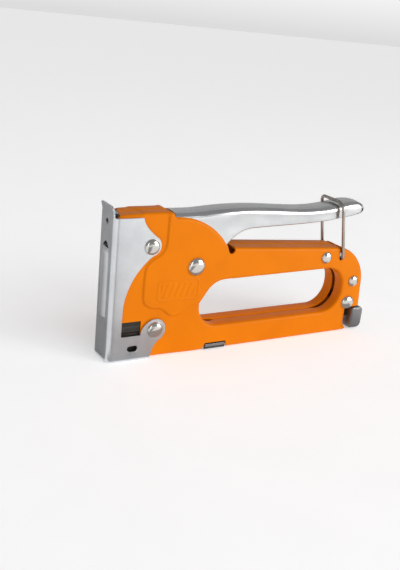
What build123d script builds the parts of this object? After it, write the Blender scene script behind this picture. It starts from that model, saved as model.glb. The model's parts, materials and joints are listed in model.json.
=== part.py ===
"""Hand staple gun with a sheet-metal body, a lever latched by a wire bail and a pull-out magazine.

Millimetres. +X runs from the nose to the heel, +Z is up, and the body is centred on y = 0. Outlines are
drawn from the front face of the nose, and write() shifts every part so that the origin lies in the middle
of the front wall's thickness, on the base of the nose.
"""
from build123d import *
from math import cos, pi, radians, sin
import os

# ---- driving dimensions --------------------------------------------------------------------------------
NOSE_HALF = 10.0          # half width over the nose cheeks
NOSE_SHEET = 1.0          # nose plate thickness
NOSE_BEND = 3.0           # outside bend radius of the nose plate
NOSE_TOP = 83.0           # top edge of the cheeks
TONGUE_TOP = 89.0         # top of the tongue above the cheeks
BODY_HALF = 9.7           # half width over the raised part of the body
BODY_WALL = 1.2           # body sheet thickness
BODY_EDGE = 1.5           # rounding of the pressed outer edges
BODY_BASE = 0.3           # height of the body's lower edge
CAP_TOP = 85.0            # top of the cap over the plunger
LEVER_WALL = 1.2          # lever sheet thickness
LEVER_HALF = 8.3          # half width of the lever
LEVER_EDGE = 2.5          # rounding along the top of the lever
LEVER_TAIL = 173.0        # end of the lever's tail
PIVOT = (51.8, 53.2)      # lever pivot, x and z
PIVOT_SHAFT = 2.6         # radius of the rivet in the pivot
BUSH_R = 3.5              # outside radius of the pivot bush
LIFTING_PIN = (17.6, 57.7)
LIFTING_PIN_R = 1.5
RUNNING = 0.05            # radial clearance of a shaft in its hole
BAIL_PIVOT = (157.8, 51.0)
BAIL_R = 36.9             # pivot to the bail's cross bar
BAIL_LEAN = 10.8          # degrees the latched bail leans to the nose
BAIL_WIRE = 0.9           # wire radius
BAIL_HALF = 10.72         # leg centre to the middle plane
STAPLE_HALF = 5.65        # half the outside width of a staple
STAPLE_TOP = 9.4          # top of the staples' crown in the magazine
STAPLE_LEG = 8.0
STRIP = (2.3, 35.3)       # front and rear end of the staple strip
RAIL_HALF = 5.0
RAIL_TOP = 8.6
PUSHER_FRONT = 35.6
PLUNGER_BASE = 44.2       # underside of the plunger, lever latched
BLADE_TIP = 4.5           # lower edge of the driver blade, lever latched
SPRING_X = 9.0            # mainspring axis
CATCH = (174.0, 183.6)    # front and rear end of the magazine catch
ROD_Z = 4.9               # axis of the pusher's rod
ROD_R = 1.0
ROD = (40.0, 168.0)       # front and rear end of the pusher's rod
UPPER_RIVET = (22.9, 66.5)
LOWER_RIVET = (28.5, 17.4)
BAR_RIVET = (145.1, 52.2)
POST_RIVET = (170.2, 34.7)
HEEL_RIVET = (168.3, 20.1)
LARGE_SHAFT = 2.0         # shaft radius of the nose and heel rivets
SMALL_SHAFT = 1.6         # shaft radius of the bar and post rivets

ORIGIN_SHIFT = NOSE_SHEET / 2


# ---- helpers -------------------------------------------------------------------------------------------
def write(name, shape):
    """Writes one part, in the frame whose origin is in the nose's front wall."""
    export_step(Pos(-ORIGIN_SHIFT, 0, 0) * shape, f"parts/{name}.step")


def outline(*curves):
    """A face from curves joined end to end, drawn with x as length and y as height."""
    return make_face(Wire(list(curves)))


def slab(face, y_near, y_far):
    """The side-view face as a solid from y_near to y_far."""
    return extrude(Plane.XZ.offset(-y_near) * face, amount=-(y_far - y_near))


def block(x, y, z):
    """A box from its limits along each axis."""
    size = [high - low for low, high in (x, y, z)]
    centre = [(high + low) / 2 for low, high in (x, y, z)]
    return Pos(*centre) * Box(*size)


def rod(x, z, radius, y_near, y_far):
    """A cylinder along Y."""
    return Pos(x, (y_near + y_far) / 2, z) * Rot(90, 0, 0) * Cylinder(radius, y_far - y_near)


def dome(radius, height):
    """A rivet head: a short rim under a spherical cap, on the plane z = 0."""
    rim = 0.35
    rise = height - rim
    ball = (radius ** 2 + rise ** 2) / (2 * rise)
    above_rim = Pos(0, 0, rim + rise) * Box(3 * radius, 3 * radius, 2 * rise)
    cap = Pos(0, 0, height - ball) * Sphere(ball) & above_rim
    return cap + Pos(0, 0, rim / 2) * Cylinder(radius, rim)


def rivet(x, z, head_radius, height, seat, shaft):
    """A through rivet along Y with a domed head on each side, on faces at y = +/- seat."""
    head = dome(head_radius, height)
    far = Pos(x, seat, z) * Rot(-90, 0, 0) * head
    near = Pos(x, -seat, z) * Rot(90, 0, 0) * head
    return far + near + rod(x, z, shaft, -seat, seat)


def both_sides(shape):
    return shape + mirror(shape, about=Plane.XZ)


def coil(radius, wire, pitch, height):
    """An open helical spring along +Z, starting on the plane z = 0."""
    path = Helix(pitch=pitch, height=height, radius=radius)
    section = Plane(origin=path @ 0, z_dir=path % 0) * Circle(wire)
    return sweep(section, path=path, is_frenet=True)


# ---- outlines in side view -----------------------------------------------------------------------------
def body_outline():
    """The pressed body, without its notches: nose edge, cap, ear, upper bar, heel and base."""
    ear_start, ear_mid, ear_end = (36.9, 81.9), (60.0, 74.6), (70.5, 64.8)
    bar_front = (77.0, 62.6)
    shoulder_x, shoulder_z, shoulder_r = 153.1, 33.0, 25.0
    bar_rear = (shoulder_x, shoulder_z + shoulder_r)
    shoulder_mid = (shoulder_x + shoulder_r * cos(pi / 4), shoulder_z + shoulder_r * sin(pi / 4))
    post_top = (shoulder_x + shoulder_r, shoulder_z)
    return outline(
        Line((2.4, 23.2), (2.4, CAP_TOP)),
        Line((2.4, CAP_TOP), (33.5, CAP_TOP)),
        ThreePointArc((33.5, CAP_TOP), (35.3, 84.3), (36.1, 82.6)),
        Line((36.1, 82.6), ear_start),
        ThreePointArc(ear_start, ear_mid, ear_end),
        Line(ear_end, bar_front),
        Line(bar_front, bar_rear),
        ThreePointArc(bar_rear, shoulder_mid, post_top),
        Line(post_top, (179.2, 17.0)),
        Line((179.2, 17.0), (173.4, 16.4)),
        Line((173.4, 16.4), (173.4, BODY_BASE)),
        Line((173.4, BODY_BASE), (20.0, BODY_BASE)),
        Line((20.0, BODY_BASE), (20.0, 23.2)),
        Line((20.0, 23.2), (2.4, 23.2)),
    )


def finger_hole():
    """The grip opening below the upper bar: its front is steeper than its rear."""
    front, rear, floor, roof = 56.8, 161.9, 15.2, 44.3
    corners = [(rear, roof + 0.4), (rear, floor), (front, floor), (front, 30.2), (65.5, roof - 1.0)]
    return make_face(FilletPolyline(*corners, radius=[13.2, 14.0, 13.0, 4.0, 13.6], close=True))


def seat_outline():
    """The sunken seat that the nose cheek lies on, in front of the raised panel."""
    return outline(
        Line((0.0, -1.0), (0.0, 86.0)),
        Line((0.0, 86.0), (32.2, 86.0)),
        Line((32.2, 86.0), (32.2, 68.0)),
        Spline((32.2, 68.0), (29.8, 61.8), (23.6, 58.4), (20.2, 53.0), tangents=[(0, -1), (-0.2, -1)]),
        Line((20.2, 53.0), (19.9, 38.0)),
        Spline((19.9, 38.0), (22.8, 31.0), (30.4, 29.3), tangents=[(0, -1), (1, 0)]),
        Spline((30.4, 29.3), (35.4, 26.0), (41.4, 24.0), tangents=[(1, 0), (1, 0)]),
        Spline((41.4, 24.0), (36.0, 12.0), (27.0, 4.0)),
        Line((27.0, 4.0), (25.0, -1.0)),
        Line((25.0, -1.0), (0.0, -1.0)),
    )


def cheek_outline():
    """One cheek of the nose plate with its two rivet lobes."""
    return outline(
        Line((0.0, 0.0), (0.0, NOSE_TOP)),
        Line((0.0, NOSE_TOP), (17.0, NOSE_TOP)),
        Spline((17.0, NOSE_TOP), (20.0, 77.2), (25.6, 72.2), tangents=[(0.25, -1), (1, -0.7)]),
        ThreePointArc((25.6, 72.2), (28.4, 66.4), (24.6, 61.4)),
        Spline((24.6, 61.4), (14.0, 50.4), (9.0, 38.2), (8.0, 28.0), tangents=[(-1, -0.35), (0, -1)]),
        Line((8.0, 28.0), (8.0, 15.0)),
        Line((8.0, 15.0), (19.8, 15.0)),
        Spline((19.8, 15.0), (21.6, 19.8), (25.4, 23.3), tangents=[(0.1, 1), (1, 0.4)]),
        ThreePointArc((25.4, 23.3), (35.2, 18.2), (31.2, 10.8)),
        Spline((31.2, 10.8), (28.0, 6.4), (26.2, 0.0), tangents=[(-1, -0.7), (-0.25, -1)]),
        Line((26.2, 0.0), (0.0, 0.0)),
    )


def lever_top():
    """The top line of the lever, nose end to tail."""
    return Spline((38.0, 83.8), (60.0, 84.8), (86.0, 85.9), (112.0, 85.0), (132.0, 84.5), (148.0, 85.1),
                  (160.0, 86.2), (167.5, 85.2), (LEVER_TAIL, 82.9))


def lever_outline():
    """The lever from the side: lifting arm, pivot eye, heel and the long handle."""
    return outline(
        lever_top(),
        Line((LEVER_TAIL, 82.9), (LEVER_TAIL, 81.7)),
        Spline((LEVER_TAIL, 81.7), (159.0, 78.3), (142.0, 75.0), (112.0, 73.7), (90.0, 73.2), (80.5, 71.6),
               (72.0, 64.6)),
        Spline((72.0, 64.6), (66.0, 53.2), (51.8, 45.7), tangents=[(-0.5, -1), (-1, 0)]),
        Spline((51.8, 45.7), (36.0, 50.4), (17.6, 55.3), tangents=[(-1, 0), (-1, 0)]),
        ThreePointArc((17.6, 55.3), (15.2, 57.7), (17.6, 60.1)),
        Line((17.6, 60.1), (21.6, 57.8)),
        Spline((21.6, 57.8), (31.4, 64.5), (38.0, 83.8), tangents=[(1, -0.1), (0.15, 1)]),
    )


def lever_plan(half, tail):
    """The lever from above: straight sides and a rounded tail."""
    corner = 5.5
    return make_face(Wire([
        Line((0, -half), (tail - corner, -half)),
        Spline((tail - corner, -half), (tail - 1.4, -half * 0.62), (tail, 0), tangents=[(1, 0), (0, 1)]),
        Spline((tail, 0), (tail - 1.4, half * 0.62), (tail - corner, half), tangents=[(0, 1), (-1, 0)]),
        Line((tail - corner, half), (0, half)),
        Line((0, half), (0, -half)),
    ]))


# ---- body ----------------------------------------------------------------------------------------------
def left_shell():
    """The near half of the body, between y = -BODY_HALF and the middle plane."""
    inside = BODY_HALF - BODY_WALL
    skin = slab(body_outline(), -BODY_HALF, 0)
    skin = fillet(skin.faces().sort_by(Axis.Y)[0].edges(), BODY_EDGE)
    cavity = slab(offset(body_outline(), -BODY_WALL), -inside, 1)
    hole = slab(finger_hole(), -BODY_HALF - 1, 1)
    hole_flange = slab(offset(finger_hole(), BODY_WALL), -inside, 1)
    shell = skin - (cavity - hole_flange) - hole
    openings = [
        block((0, 10), (-inside, 1), (20, CAP_TOP - BODY_WALL)),
        block((36.4, 77.4), (-inside, 1), (50, 90)),
        block((0, 175), (-inside, 1), (-1, 13.6 - BODY_WALL)),
        block((161, 175), (-inside, 1), (-1, 15.2)),
    ]
    for opening in openings:
        shell -= opening
    shell -= slab(seat_outline(), -BODY_HALF - 1, -NOSE_HALF + NOSE_SHEET)
    shell -= heel_notch()
    shell -= tab_notch()
    shell -= bail_slot()
    shell += block((163.5, 173.4), (-inside, -6.5), (BODY_BASE, 15.2))
    shell -= thumb_dimple()
    for x, z, radius in RIVET_HOLES:
        shell -= rod(x, z, radius, -BODY_HALF - 1, 1)
    return shell


RIVET_HOLES = [
    (*UPPER_RIVET, LARGE_SHAFT),
    (*LOWER_RIVET, LARGE_SHAFT),
    (*PIVOT, PIVOT_SHAFT),
    (*BAR_RIVET, SMALL_SHAFT),
    (*POST_RIVET, SMALL_SHAFT),
    (*HEEL_RIVET, LARGE_SHAFT),
]


def heel_notch():
    """The notch behind the ear that the heel of the lever sinks into."""
    return slab(outline(
        Line((70.5, 64.9), (72.6, 60.6)),
        ThreePointArc((72.6, 60.6), (74.9, 59.2), (76.9, 60.9)),
        Line((76.9, 60.9), (77.0, 66.0)),
        Line((77.0, 66.0), (70.5, 64.9)),
    ), -BODY_HALF - 1, 1)


def tab_notch():
    """The notch in the base that shows the magazine's tab."""
    return slab(outline(
        Line((60.0, -1.0), (62.6, 4.5)),
        Line((62.6, 4.5), (76.8, 4.5)),
        Line((76.8, 4.5), (78.4, -1.0)),
        Line((78.4, -1.0), (60.0, -1.0)),
    ), -BODY_HALF - 1, 1)


def bail_slot():
    """The slot over the shoulder of the body for one foot of the bail."""
    width = 3.4
    centre = BAIL_PIVOT[0] - 0.5
    bottom = BAIL_PIVOT[1] + 0.3
    slot = block((centre - width / 2, centre + width / 2), (-BODY_HALF - 1, -7.2), (bottom, 62))
    return slot + rod(centre, bottom, width / 2, -BODY_HALF - 1, -7.2)


def thumb_dimple():
    """The hollow in front of the magazine catch, where finger and thumb grip it."""
    radius = 9.0
    depth = 2.2
    hollow = Pos(174.4, -BODY_HALF - radius + depth, 8.0) * Cylinder(radius, 13.6)
    return fillet(hollow.edges(), 1.5)


def cap_front_cut():
    """The cap's front edge runs slightly across, further back on the far side."""
    wedge = make_face(Polyline((-1, -12), (1.3, -12), (9.9, 12), (-1, 12), close=True))
    return Pos(0, 0, NOSE_TOP - 1) * extrude(wedge, amount=5)


# ---- nose ----------------------------------------------------------------------------------------------
def nose_plate():
    """A U of sheet steel around the front: two cheeks, a ribbed front wall and a tongue on top."""
    plan = make_face(Wire([
        Line((40, -NOSE_HALF), (NOSE_BEND, -NOSE_HALF)),
        RadiusArc((NOSE_BEND, -NOSE_HALF), (0, -NOSE_HALF + NOSE_BEND), NOSE_BEND),
        Line((0, -NOSE_HALF + NOSE_BEND), (0, NOSE_HALF - NOSE_BEND)),
        RadiusArc((0, NOSE_HALF - NOSE_BEND), (NOSE_BEND, NOSE_HALF), NOSE_BEND),
        Line((NOSE_BEND, NOSE_HALF), (40, NOSE_HALF)),
        Line((40, NOSE_HALF), (40, -NOSE_HALF)),
    ]))
    inside = offset(plan, -NOSE_SHEET)
    inside += Pos(35, 0) * Rectangle(20, 2 * (NOSE_HALF - NOSE_SHEET))
    sheet = extrude(plan - inside, amount=NOSE_TOP)
    plate = sheet & slab(cheek_outline(), -NOSE_HALF - 1, NOSE_HALF + 1)
    plate += tongue()
    plate += front_rib()
    plate -= front_rib_groove()
    plate -= Pos(0, 0, 79.3) * Rot(0, 90, 0) * Cylinder(1.75, 6)
    window = Plane.XZ.offset(20) * Pos(15.2, 7.3) * SlotOverall(6.2, 3.2)
    plate -= extrude(window, amount=-40)
    for x, z in (UPPER_RIVET, LOWER_RIVET):
        plate -= rod(x, z, LARGE_SHAFT, -NOSE_HALF - 1, NOSE_HALF + 1)
    return plate


def tongue():
    """The tongue stands on the front wall and leans forward at its tip."""
    half = 8.6
    corner = 2.0
    lean = 1.0
    bend_z = 85.5
    side = make_face(Polyline(
        (0, NOSE_TOP - 1),
        (0, bend_z),
        (-lean, TONGUE_TOP),
        (NOSE_SHEET - lean, TONGUE_TOP),
        (NOSE_SHEET, bend_z),
        (NOSE_SHEET, NOSE_TOP - 1),
        close=True,
    ))
    strip = slab(side, -half, half)
    face = Plane.YZ * Pos(0, (NOSE_TOP + TONGUE_TOP) / 2 - 2) * RectangleRounded(2 * half, 10, corner)
    return strip & extrude(face, amount=4, both=True)


RIB = {"half": 5.0, "rise": 1.3, "base": 25.0, "top": 66.0}


def rib_section(half, rise, back):
    """A circular arc standing in front of the wall, closed along x = back."""
    return make_face(Wire([
        Line((back, -half), (0, -half)),
        ThreePointArc((0, -half), (-rise, 0), (0, half)),
        Line((0, half), (back, half)),
        Line((back, half), (back, -half)),
    ]))


def front_rib():
    """The pressed rib down the front wall."""
    section = rib_section(RIB["half"], RIB["rise"], NOSE_SHEET / 2)
    return Pos(0, 0, RIB["base"]) * extrude(section, amount=RIB["top"] - RIB["base"])


def front_rib_groove():
    """The hollow behind the rib, open at its top as a louvre."""
    section = rib_section(RIB["half"] - 0.8, RIB["rise"] - 0.7, NOSE_SHEET + 0.1)
    hollow = extrude(section, amount=RIB["top"] - RIB["base"])
    mouth = extrude(rib_section(RIB["half"] - 0.8, 0.1, NOSE_SHEET + 0.1), amount=2)
    return Pos(0, 0, RIB["base"] + 0.8) * hollow + Pos(0, 0, RIB["top"]) * mouth


def driver_guide():
    """The bracket behind the driver blade, with the shelf under the plunger's bumper."""
    inside = BODY_HALF - BODY_WALL - 0.1
    plate = block((2.4, 3.4), (-inside, inside), (11.0, 33.5))
    shelf = block((2.4, 16.0), (-inside, inside), (32.3, 33.5))
    return plate + shelf


def track_bracket():
    """The channel inside the nose that shows through the cheek's window, with a bead along each side."""
    low, high = 11.0, 22.9
    front, rear = 3.4, 19.8
    outer, wall = 8.3, 0.9
    channel = block((front, rear), (-outer, outer), (low, high))
    channel -= block((front - 1, rear + 1), (-outer + wall, outer - wall), (low + wall, high + 1))
    bead = Plane.YZ.offset(6.0) * Polyline((outer - 0.2, 16.0), (outer + 0.5, 17.2), (outer + 0.5, 19.6),
                                           (outer - 0.2, 20.8), close=True)
    near = extrude(make_face(bead), amount=13.4)
    return channel + near + mirror(near, about=Plane.XZ)


def impact_bumper():
    """The rubber block that stops the plunger."""
    pad = block((3.6, 15.0), (-7.0, 7.0), (33.5, 40.0))
    return fillet(pad.edges().filter_by(Axis.Z), 1.5)


# ---- rivets --------------------------------------------------------------------------------------------
def nose_rivets():
    """The two large rivets through the nose cheeks."""
    upper = rivet(*UPPER_RIVET, 4.5, 2.0, NOSE_HALF, LARGE_SHAFT)
    lower = rivet(*LOWER_RIVET, 4.75, 2.0, NOSE_HALF, LARGE_SHAFT)
    return [upper, lower]


def rear_rivets():
    """The two small rivets in the upper bar and the heel post."""
    return [rivet(x, z, 3.75, 1.7, BODY_HALF, SMALL_SHAFT) for x, z in (BAR_RIVET, POST_RIVET)]


def spacer_sleeves():
    """Tubes on the rivets that keep the two halves of the body apart."""
    inside = BODY_HALF - BODY_WALL
    places = [
        (*UPPER_RIVET, 2.5, LARGE_SHAFT),
        (*LOWER_RIVET, 3.2, LARGE_SHAFT),
        (*BAR_RIVET, 2.6, SMALL_SHAFT),
        (*POST_RIVET, 2.6, SMALL_SHAFT),
        (*HEEL_RIVET, 3.2, LARGE_SHAFT),
    ]
    return [rod(x, z, outer, -inside, inside) - rod(x, z, shaft, -inside, inside)
            for x, z, outer, shaft in places]


# ---- lever ---------------------------------------------------------------------------------------------
def lever():
    """A deep channel, open below, with its two side plates running down to the pivot and the plunger."""
    body = slab(lever_outline(), -LEVER_HALF, LEVER_HALF)
    crown = body.edges().filter_by(lambda edge: edge.length > 100).group_by(Axis.Z)[-1]
    body = fillet(crown.filter_by(lambda edge: abs(edge.center().Y) > 1), LEVER_EDGE)
    body &= extrude(lever_plan(LEVER_HALF, LEVER_TAIL), amount=120)
    inner_plan = extrude(lever_plan(LEVER_HALF - LEVER_WALL, LEVER_TAIL - LEVER_WALL), amount=120)
    roof = outline(
        Pos(0, -LEVER_WALL) * lever_top(),
        Line((LEVER_TAIL, 82.9 - LEVER_WALL), (LEVER_TAIL, 30)),
        Line((LEVER_TAIL, 30), (10, 30)),
        Line((10, 30), (10, 83.8 - LEVER_WALL)),
        Line((10, 83.8 - LEVER_WALL), (38.0, 83.8 - LEVER_WALL)),
    )
    body -= slab(roof, -12, 12) & inner_plan
    body -= rod(*PIVOT, BUSH_R + RUNNING, -12, 12)
    body -= rod(*LIFTING_PIN, LIFTING_PIN_R, -12, 12)
    return body


def return_spring():
    """The torsion spring around the bush: one arm on the body, one under the roof of the lever."""
    mean = 5.2
    wire = 0.7
    width = 9.0
    loops = Pos(PIVOT[0], width / 2, PIVOT[1]) * Rot(90, 0, 0) * coil(mean, wire, 1.8, width)
    upper_end = Pos(PIVOT[0] + mean, -width / 2, PIVOT[1]) * Rot(0, 22, 0)
    lower_end = Pos(PIVOT[0] + mean, width / 2, PIVOT[1]) * Rot(0, 145, 0)
    upper = upper_end * (Pos(0, 0, 14) * Cylinder(wire, 28) + Sphere(1.1 * wire))
    lower = lower_end * (Pos(0, 0, 4.5) * Cylinder(wire, 9) + Sphere(1.1 * wire))
    return loops + upper + lower


# ---- bail ----------------------------------------------------------------------------------------------
def wire_bail():
    """A bent wire: two feet hooked into the body, two legs and a cross bar over the lever."""
    bend = 2.6
    foot_end = 7.0
    x, z = BAIL_PIVOT
    top_x = x - BAIL_R * sin(radians(BAIL_LEAN))
    top_z = z + BAIL_R * cos(radians(BAIL_LEAN))
    corners = [
        (x, -foot_end, z),
        (x, -BAIL_HALF, z),
        (top_x, -BAIL_HALF, top_z),
        (top_x, BAIL_HALF, top_z),
        (x, BAIL_HALF, z),
        (x, foot_end, z),
    ]
    path = FilletPolyline(*corners, radius=[1.0, bend, bend, 1.0])
    section = Plane(origin=path @ 0, z_dir=path % 0) * Circle(BAIL_WIRE)
    return sweep(section, path=path)


def bail_bracket():
    """The bracket inside the shoulder that the feet of the bail turn in."""
    outer = 8.4
    wall = 1.0
    x, z = BAIL_PIVOT
    plate = block((x - 4.5, x + 5.0), (-outer, outer), (z - 3.2, z + 3.2))
    plate -= block((x - 5, x + 5.5), (-outer + wall, outer - wall), (z - 2.2, z + 4))
    return plate - rod(x, z, BAIL_WIRE + RUNNING, -outer - 1, outer + 1)


# ---- plunger -------------------------------------------------------------------------------------------
def plunger():
    """The sliding hammer: a cup for the mainspring with a lip over the lever's lifting pin."""
    cup = block((2.3, 14.6), (-6.6, 6.6), (PLUNGER_BASE, 70.0))
    cup = fillet(cup.edges().filter_by(Axis.Z), 1.0)
    lip = block((14.0, 18.9), (-6.4, 6.4), (59.6, 61.9))
    bore = Pos(SPRING_X, 0, 47.0 + 20) * Cylinder(5.5, 40)
    return cup + lip - bore


def driver_blade():
    """The flat blade that drives the staple, fixed to the front of the plunger."""
    half = STAPLE_HALF - 0.1
    return block((1.3, 2.0), (-half, half), (BLADE_TIP, 66.0)) + block((2.0, 2.3), (-3.5, 3.5), (50, 62))


def mainspring():
    return Pos(SPRING_X, 0, 47.7) * coil(4.4, 0.65, 3.4, 34.0)


def spring_seat():
    """The cup washer that centres the mainspring under the cap."""
    disc = Pos(SPRING_X, 0, 83.1) * Cylinder(5.6, 1.4)
    boss = Pos(SPRING_X, 0, 80.4) * Cylinder(3.3, 4.0)
    return disc + boss


# ---- magazine ------------------------------------------------------------------------------------------
def magazine_channel():
    """The fixed staple track: an inverted channel with lugs to the body and a tab in each side notch."""
    track = block((4.5, 163.0), (-6.9, 6.9), (1.2, 10.6)) - block((0, 170), (-6.1, 6.1), (0, 9.8))
    inside = BODY_HALF - BODY_WALL
    for x in (45.0, 105.0, 150.0):
        track += both_sides(block((x, x + 8), (6.9, inside), (9.4, 10.6)))
    lug = block((62.6, 76.6), (6.9, 9.5), (3.0, 3.9)) + block((62.6, 76.6), (8.6, 9.5), (0.6, 3.9))
    lug = fillet(lug.edges().filter_by(Axis.Y).group_by(Axis.Z)[-1], 0.8)
    return track + both_sides(lug)


def staple_strip():
    """A cohered strip of fine-wire staples, standing astride the rail."""
    wire = 0.5
    outer = block(STRIP, (-STAPLE_HALF, STAPLE_HALF), (STAPLE_TOP - wire - STAPLE_LEG, STAPLE_TOP))
    inner = block((0, 60), (-STAPLE_HALF + wire, STAPLE_HALF - wire), (-1, STAPLE_TOP - wire))
    return fillet(outer.edges().filter_by(Axis.X).group_by(Axis.Z)[-1], 0.5) - inner


def magazine_rail():
    """The pull-out rail under the staples, an inverted channel."""
    wall = 0.8
    rear = CATCH[1] - 1.2
    rail = block((3.0, rear), (-RAIL_HALF, RAIL_HALF), (2.0, RAIL_TOP))
    return rail - block((0, rear + 1), (-RAIL_HALF + wall, RAIL_HALF - wall), (0, RAIL_TOP - wall))


def magazine_catch():
    """The finger catch that closes the heel, open to the front and below."""
    wall = 1.2
    front, rear = CATCH
    cover = block((front, rear), (-BODY_HALF, BODY_HALF), (BODY_BASE, 15.2))
    cover = fillet(cover.edges().filter_by(Axis.Z).group_by(Axis.X)[-1], 2.4)
    cover = fillet(cover.edges().group_by(Axis.Z)[-1].group_by(Axis.X)[-1], 1.0)
    return cover - block((0, rear - wall), (-BODY_HALF + wall, BODY_HALF - wall), (0, 15.2 - wall))


def rod_anchor():
    """The plate across the rail that carries the pusher's rod."""
    half = RAIL_HALF - 0.8
    return block((ROD[1], ROD[1] + 1.2), (-half, half), (2.2, RAIL_TOP - 0.8))


def pusher_rod():
    front, rear = ROD
    return Pos((front + rear) / 2, 0, ROD_Z) * Rot(0, 90, 0) * Cylinder(ROD_R, rear - front)


def pusher():
    """The saddle that pushes the strip to the nose, with a web around the rail and a lug on the rod."""
    inner = RAIL_HALF + 0.2
    saddle = block((PUSHER_FRONT, 50.0), (-STAPLE_HALF, STAPLE_HALF), (1.0, 9.4))
    saddle -= block((0, 60), (-inner, inner), (1.6, RAIL_TOP + 0.25))
    lug = block((46.5, 49.0), (-3.4, 3.4), (1.0, 7.2))
    return saddle + lug - Pos(48, 0, ROD_Z) * Rot(0, 90, 0) * Cylinder(ROD_R + RUNNING, 10)


def pusher_spring():
    front = 49.7
    return Pos(front, 0, ROD_Z) * Rot(0, 90, 0) * coil(1.9, 0.3, 4.2, ROD[1] - front - 0.5)


# ---- writing -------------------------------------------------------------------------------------------
def main():
    os.makedirs("parts", exist_ok=True)
    left = left_shell()
    inside = BODY_HALF - BODY_WALL
    parts = {
        "left_shell": left - cap_front_cut(),
        "right_shell": mirror(left, about=Plane.XZ) - cap_front_cut(),
        "nose_plate": nose_plate(),
        "driver_guide": driver_guide(),
        "track_bracket": track_bracket(),
        "impact_bumper": impact_bumper(),
        "nose_rivets": Compound(nose_rivets()),
        "lever_pivot_rivet": rivet(*PIVOT, 5.4, 2.3, BODY_HALF, PIVOT_SHAFT),
        "lever_bush": rod(*PIVOT, BUSH_R, -inside, inside) - rod(*PIVOT, PIVOT_SHAFT, -inside, inside),
        "rear_rivets": Compound(rear_rivets()),
        "heel_rivet": rivet(*HEEL_RIVET, 4.9, 2.0, BODY_HALF, LARGE_SHAFT),
        "spacer_sleeves": Compound(spacer_sleeves()),
        "lever": lever(),
        "lifting_pin": rod(*LIFTING_PIN, LIFTING_PIN_R, -LEVER_HALF, LEVER_HALF),
        "lever_return_spring": return_spring(),
        "wire_bail": wire_bail(),
        "bail_bracket": bail_bracket(),
        "plunger": plunger(),
        "driver_blade": driver_blade(),
        "mainspring": mainspring(),
        "spring_seat": spring_seat(),
        "magazine_channel": magazine_channel(),
        "staple_strip": staple_strip(),
        "magazine_rail": magazine_rail(),
        "magazine_catch": magazine_catch(),
        "rod_anchor": rod_anchor(),
        "pusher_rod": pusher_rod(),
        "pusher": pusher(),
        "pusher_spring": pusher_spring(),
    }
    for name, shape in parts.items():
        write(name, shape)


main()
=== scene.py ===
import json
import math

import bmesh
import bpy
import numpy as np
from mathutils import Matrix, Vector, geometry


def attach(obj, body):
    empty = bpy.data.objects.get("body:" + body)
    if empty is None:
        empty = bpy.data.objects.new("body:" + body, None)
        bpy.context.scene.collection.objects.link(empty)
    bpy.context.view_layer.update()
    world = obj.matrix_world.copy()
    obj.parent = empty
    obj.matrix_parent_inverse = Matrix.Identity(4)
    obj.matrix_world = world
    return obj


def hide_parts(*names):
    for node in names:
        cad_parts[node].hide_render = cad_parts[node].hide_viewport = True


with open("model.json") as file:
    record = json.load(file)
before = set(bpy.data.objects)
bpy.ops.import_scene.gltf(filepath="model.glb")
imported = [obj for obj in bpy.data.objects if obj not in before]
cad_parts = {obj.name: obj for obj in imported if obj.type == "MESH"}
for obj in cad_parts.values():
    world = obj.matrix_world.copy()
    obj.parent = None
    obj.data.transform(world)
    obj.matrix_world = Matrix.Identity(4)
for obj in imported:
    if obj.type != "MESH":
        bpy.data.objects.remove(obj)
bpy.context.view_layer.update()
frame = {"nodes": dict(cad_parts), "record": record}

# Lengths in this script are millimetres, in the drawing's frame: x runs back from the front face of the
# nose, y across and z up. place() turns them into the frame's metres, whose origin is inside the front wall.
NOSE_SHEET = 1.0
ORIGIN = np.array([NOSE_SHEET / 2, 0.0, 0.0])
MM = 0.001

BODY_HALF = 9.7          # half width over the raised part of the body
SEAT_DROP = 0.9          # step down to the seat of the nose plate's cheeks
CAP_TOP = 85.0
BASE = 0.3               # height of the body's lower edge
NOSE_HALF = 10.0         # half width over the nose plate's cheeks
PIVOT = (51.8, 53.2)     # the lever's pivot, x and z
LIFTING_PIN = (17.6, 57.7)
BAIL_PIVOT = (157.8, 51.0)
UPPER_RIVET = (22.9, 66.5)
LOWER_RIVET = (28.5, 17.4)
BAR_RIVET = (145.1, 52.2)
POST_RIVET = (170.2, 34.7)
HEEL_RIVET = (168.3, 20.1)


def place(points):
    """Drawing millimetres to the frame's metres."""
    return (np.asarray(points, float).reshape(-1, 3) - ORIGIN) * MM


# ---- curves in the drawing plane -----------------------------------------------------------------------
def line(a, b, step=2.0):
    """Points from a up to but not including b."""
    a, b = np.array(a, float), np.array(b, float)
    n = max(1, int(math.ceil(np.linalg.norm(b - a) / step)))
    return [tuple(a + (b - a) * k / n) for k in range(n)]


def arc(a, mid, b, step=1.0):
    """Points of the circle through a, mid and b, from a up to but not including b."""
    (ax, ay), (bx, by), (cx, cy) = a, mid, b
    d = 2 * (ax * (by - cy) + bx * (cy - ay) + cx * (ay - by))
    sa, sb, sc = ax * ax + ay * ay, bx * bx + by * by, cx * cx + cy * cy
    centre = np.array([(sa * (by - cy) + sb * (cy - ay) + sc * (ay - by)) / d,
                       (sa * (cx - bx) + sb * (ax - cx) + sc * (bx - ax)) / d])
    angles = [math.atan2(p[1] - centre[1], p[0] - centre[0]) for p in (a, mid, b)]
    turn = (angles[2] - angles[0]) % (2 * math.pi)
    if (angles[1] - angles[0]) % (2 * math.pi) > turn:
        turn -= 2 * math.pi
    radius = math.hypot(ax - centre[0], ay - centre[1])
    n = max(3, int(math.ceil(abs(turn) * radius / step)))
    return [tuple(centre + radius * np.array([math.cos(angles[0] + turn * k / n),
                                              math.sin(angles[0] + turn * k / n)])) for k in range(n)]


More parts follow.
